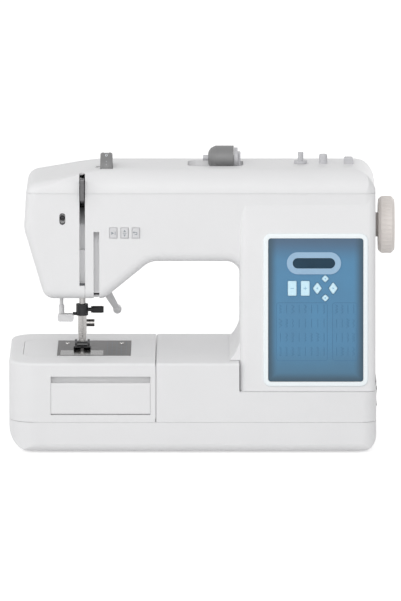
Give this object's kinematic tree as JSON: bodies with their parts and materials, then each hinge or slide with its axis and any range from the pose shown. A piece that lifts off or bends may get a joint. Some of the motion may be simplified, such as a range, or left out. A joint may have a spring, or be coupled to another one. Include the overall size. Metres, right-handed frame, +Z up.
{
  "type": "sewing machine",
  "caption": "White free-arm domestic sewing machine with a blue control panel, handwheel, extension table and moving stitch mechanism.",
  "frame": {"origin": "on the table surface, under the middle of the machine's bounding box", "axes": "+X to the handwheel, +Y from the operator to the back, +Z up"},
  "size_m": [0.41, 0.18, 0.317],
  "materials": {
    "white_body": "satin moulded ABS",
    "wheel_grey": "warm grey ABS",
    "panel_blue": "printed film",
    "dark_plastic": "moulded",
    "smoked_clear": "clear smoked plastic",
    "display_glass": "display window",
    "lamp_clear": "clear plastic",
    "steel": "plated steel",
    "cast_alloy": "die cast",
    "bronze": "sintered bronze",
    "board_green": "circuit board",
    "black_rubber": "moulded rubber"
  },
  "bodies": {
    "machine_body": {"base_tray": "white_body", "rubber_feet": "black_rubber", "bed_housing": "white_body", "free_arm": "white_body", "needle_plate": "steel", "front_cover": "white_body", "rear_cover": "white_body", "top_cover": "white_body", "face_cover": "white_body", "frame_casting": "cast_alloy", "bushes": "bronze", "panel_bezel": "white_body", "control_panel": "panel_blue", "display_bezel": "white_body", "lcd_window": "display_glass", "circuit_boards": "board_green", "drive_motor": "steel", "timing_belt": "black_rubber", "motor_belt": "black_rubber", "mains_inlet": "dark_plastic", "lamp_lens": "lamp_clear", "spool_pin": "dark_plastic", "winder_stop": "dark_plastic", "bobbin_case": "dark_plastic", "screws": "steel"},
    "main_drive": {"handwheel": "wheel_grey", "upper_shaft": "steel", "crank": "steel", "shaft_pulley": "dark_plastic"},
    "lower_drive": {"lower_shaft": "steel", "lower_pulley": "dark_plastic", "hook_drive_gear": "bronze"},
    "hook": {"rotary_hook": "steel"},
    "motor_rotor": {"motor_pulley": "steel"},
    "bobbin_body": {"bobbin": "lamp_clear"},
    "swing_frame": {"needle_bar_frame": "cast_alloy"},
    "needle_carrier": {"needle_bar": "steel", "connecting_rod": "steel", "needle_clamp": "steel", "needle": "steel"},
    "take_up": {"take_up_lever": "steel"},
    "presser": {"presser_bar": "steel", "foot_holder": "steel", "presser_foot": "steel"},
    "lifter": {"lifter_lever": "wheel_grey"},
    "threader": {"needle_threader": "white_body"},
    "feed": {"feed_dog": "steel"},
    "bobbin_lid": {"bobbin_cover": "smoked_clear"},
    "table": {"extension_table": "white_body"},
    "door": {"table_door": "white_body"},
    "tension": {"tension_dial": "dark_plastic"},
    "cap": {"spool_cap": "dark_plastic"},
    "winder": {"bobbin_winder": "steel"},
    "switch": {"power_switch": "dark_plastic"},
    "start_stop": {"start_stop_button": "white_body"},
    "needle_position": {"needle_position_button": "white_body"},
    "reverse": {"reverse_button": "white_body"},
    "key_left": {"stitch_key_left": "white_body"},
    "key_right": {"stitch_key_right": "white_body"},
    "arrows": {"arrow_pad": "white_body"}
  },
  "joints": [
    {"name": "handwheel_turn", "type": "hinge", "parent": "machine_body", "child": "main_drive", "pos_m": [0, 0, 0.232], "axis": [1, 0, 0], "continuous": true},
    {"name": "lower_shaft_turn", "type": "hinge", "parent": "machine_body", "child": "lower_drive", "pos_m": [0, -0.002, 0.07], "axis": [1, 0, 0], "continuous": true},
    {"name": "hook_turn", "type": "hinge", "parent": "machine_body", "child": "hook", "pos_m": [-0.128, -0.024, 0], "axis": [0, 0, 1], "continuous": true},
    {"name": "motor_turn", "type": "hinge", "parent": "machine_body", "child": "motor_rotor", "pos_m": [0, 0.03, 0.112], "axis": [1, 0, 0], "continuous": true},
    {"name": "bobbin_turn", "type": "hinge", "parent": "machine_body", "child": "bobbin_body", "pos_m": [-0.128, -0.024, 0], "axis": [0, 0, 1], "continuous": true},
    {"name": "needle_swing", "type": "hinge", "parent": "machine_body", "child": "swing_frame", "pos_m": [-0.139, 0, 0.272], "axis": [0, 1, 0], "range_deg": [-1.2, 1.2]},
    {"name": "needle_stroke", "type": "slide", "parent": "swing_frame", "child": "needle_carrier", "axis": [0, 0, 1], "range_m": [-0.028, 0]},
    {"name": "take_up_swing", "type": "hinge", "parent": "machine_body", "child": "take_up", "pos_m": [0, -0.014, 0.26], "axis": [1, 0, 0], "range_deg": [0, 60.01]},
    {"name": "presser_lift", "type": "slide", "parent": "machine_body", "child": "presser", "axis": [0, 0, 1], "range_m": [0, 0.006]},
    {"name": "lifter_turn", "type": "hinge", "parent": "machine_body", "child": "lifter", "pos_m": [-0.116, 0, 0.173], "axis": [0, -1, 0], "range_deg": [0, 65.05]},
    {"name": "threader_press", "type": "slide", "parent": "machine_body", "child": "threader", "axis": [0, 0, 1], "range_m": [-0.024, 0], "stiffness_N_per_m": 60, "springref_m": 0.01},
    {"name": "feed_stroke", "type": "slide", "parent": "machine_body", "child": "feed", "axis": [0, 1, 0], "range_m": [-0.0025, 0.0025]},
    {"name": "bobbin_cover_lift", "type": "slide", "parent": "machine_body", "child": "bobbin_lid", "axis": [0, 0, 1], "range_m": [0, 0.02]},
    {"name": "table_slide", "type": "slide", "parent": "machine_body", "child": "table", "axis": [-1, 0, 0], "range_m": [0, 0.17]},
    {"name": "door_swing", "type": "hinge", "parent": "table", "child": "door", "pos_m": [0, -0.0874, 0.045], "axis": [1, 0, 0], "range_deg": [0, 90]},
    {"name": "tension_turn", "type": "hinge", "parent": "machine_body", "child": "tension", "pos_m": [0, -0.018, 0.295], "axis": [1, 0, 0], "range_deg": [-140, 140]},
    {"name": "spool_cap_slide", "type": "slide", "parent": "machine_body", "child": "cap", "axis": [-1, 0, 0], "range_m": [0, 0.019]},
    {"name": "winder_turn", "type": "hinge", "parent": "machine_body", "child": "winder", "pos_m": [0.105, 0, 0], "axis": [0, 0, 1], "continuous": true},
    {"name": "power_rocker", "type": "hinge", "parent": "machine_body", "child": "switch", "pos_m": [0.1837, 0, 0.0507], "axis": [0, 1, 0], "range_deg": [-8, 8]},
    {"name": "start_stop_press", "type": "slide", "parent": "machine_body", "child": "start_stop", "axis": [0, 1, 0], "range_m": [0, 0.001], "stiffness_N_per_m": 300},
    {"name": "needle_position_press", "type": "slide", "parent": "machine_body", "child": "needle_position", "axis": [0, 1, 0], "range_m": [0, 0.001], "stiffness_N_per_m": 300},
    {"name": "reverse_press", "type": "slide", "parent": "machine_body", "child": "reverse", "axis": [0, 1, 0], "range_m": [0, 0.001], "stiffness_N_per_m": 300},
    {"name": "stitch_key_left_press", "type": "slide", "parent": "machine_body", "child": "key_left", "axis": [0, 0.9884, -0.1521], "range_m": [0, 0.001], "stiffness_N_per_m": 300},
    {"name": "stitch_key_right_press", "type": "slide", "parent": "machine_body", "child": "key_right", "axis": [0, 0.9884, -0.1521], "range_m": [0, 0.001], "stiffness_N_per_m": 300},
    {"name": "arrow_pad_rock", "type": "hinge", "parent": "machine_body", "child": "arrows", "pos_m": [0.1305, -0.06506, 0.17418], "axis": [1, 0, 0], "range_deg": [-3, 3], "stiffness_Nm_per_rad": 0.05}
  ],
  "couplings": [
    {"joint": "lower_shaft_turn", "follows": "handwheel_turn", "ratio": 1},
    {"joint": "hook_turn", "follows": "handwheel_turn", "ratio": 2},
    {"joint": "motor_turn", "follows": "handwheel_turn", "ratio": 4},
    {"joint": "take_up_swing", "follows": "needle_stroke", "rad_per_m": -37.4},
    {"joint": "lifter_turn", "follows": "presser_lift", "rad_per_m": 189.08}
  ]
}
